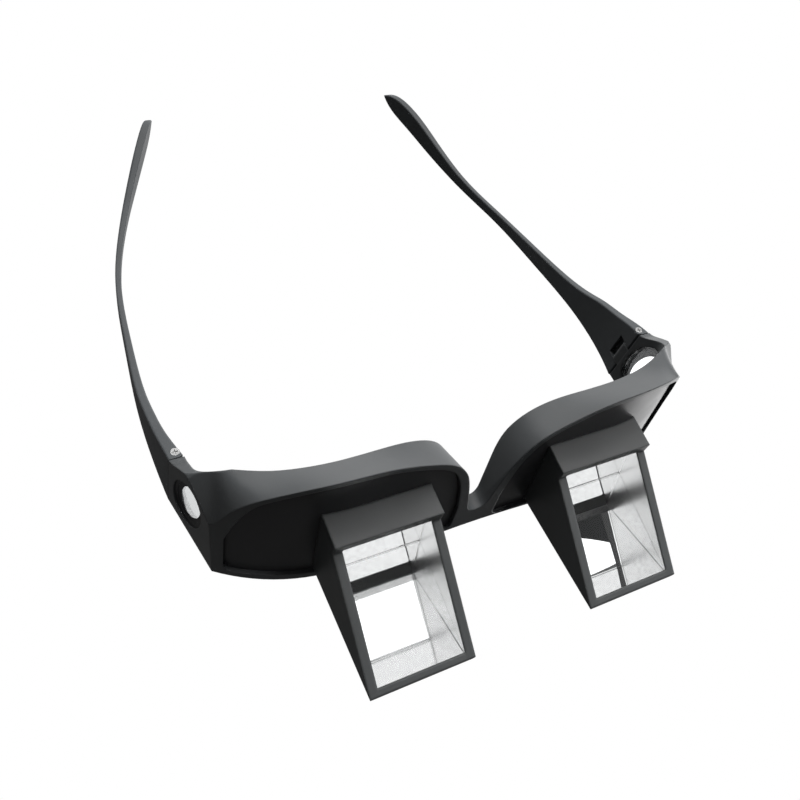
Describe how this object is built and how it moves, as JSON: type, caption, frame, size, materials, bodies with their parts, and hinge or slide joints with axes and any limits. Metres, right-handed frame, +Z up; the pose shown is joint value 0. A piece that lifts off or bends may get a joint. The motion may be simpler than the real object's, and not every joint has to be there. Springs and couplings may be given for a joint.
{
  "type": "prism bed glasses",
  "caption": "Eyewear with prism housings on a wrapped front, side windows and folding temples, for reading while lying flat.",
  "frame": {"origin": "middle of the nose saddle, the lower edge of the bridge, on the plane of symmetry", "axes": "+Z is up as worn, -Y is the way the wearer faces, the temples run along +Y and +X is the wearer's left"},
  "size_m": [0.1492, 0.1952, 0.0478],
  "materials": {
    "front_frame": "fine matte grain",
    "panel": "satin gloss",
    "hood": "fine matte grain",
    "prism": "clear and polished",
    "prism_mirror": "silvered",
    "side_lens": "clear and polished",
    "temple": "fine matte grain",
    "screw": "bright",
    "nut": "turned"
  },
  "bodies": {
    "front": {"front_frame": "front_frame", "left_panel": "panel", "left_hood": "hood", "left_prism": "prism", "left_prism_mirror": "prism_mirror", "left_side_lens": "side_lens", "right_panel": "panel", "right_hood": "hood", "right_prism": "prism", "right_prism_mirror": "prism_mirror", "right_side_lens": "side_lens"},
    "left_arm": {"left_temple": "temple", "left_hinge_screw": "screw", "left_hinge_nut": "nut"},
    "right_arm": {"right_temple": "temple", "right_hinge_screw": "screw", "right_hinge_nut": "nut"}
  },
  "joints": [
    {"name": "left_temple_fold", "type": "hinge", "parent": "front", "child": "left_arm", "pos_m": [0.0718, 0.0312, -0.0008], "axis": [0, 0, 1], "range_deg": [0, 86]},
    {"name": "right_temple_fold", "type": "hinge", "parent": "front", "child": "right_arm", "pos_m": [-0.0718, 0.0312, -0.0008], "axis": [0, 0, -1], "range_deg": [0, 74]}
  ]
}
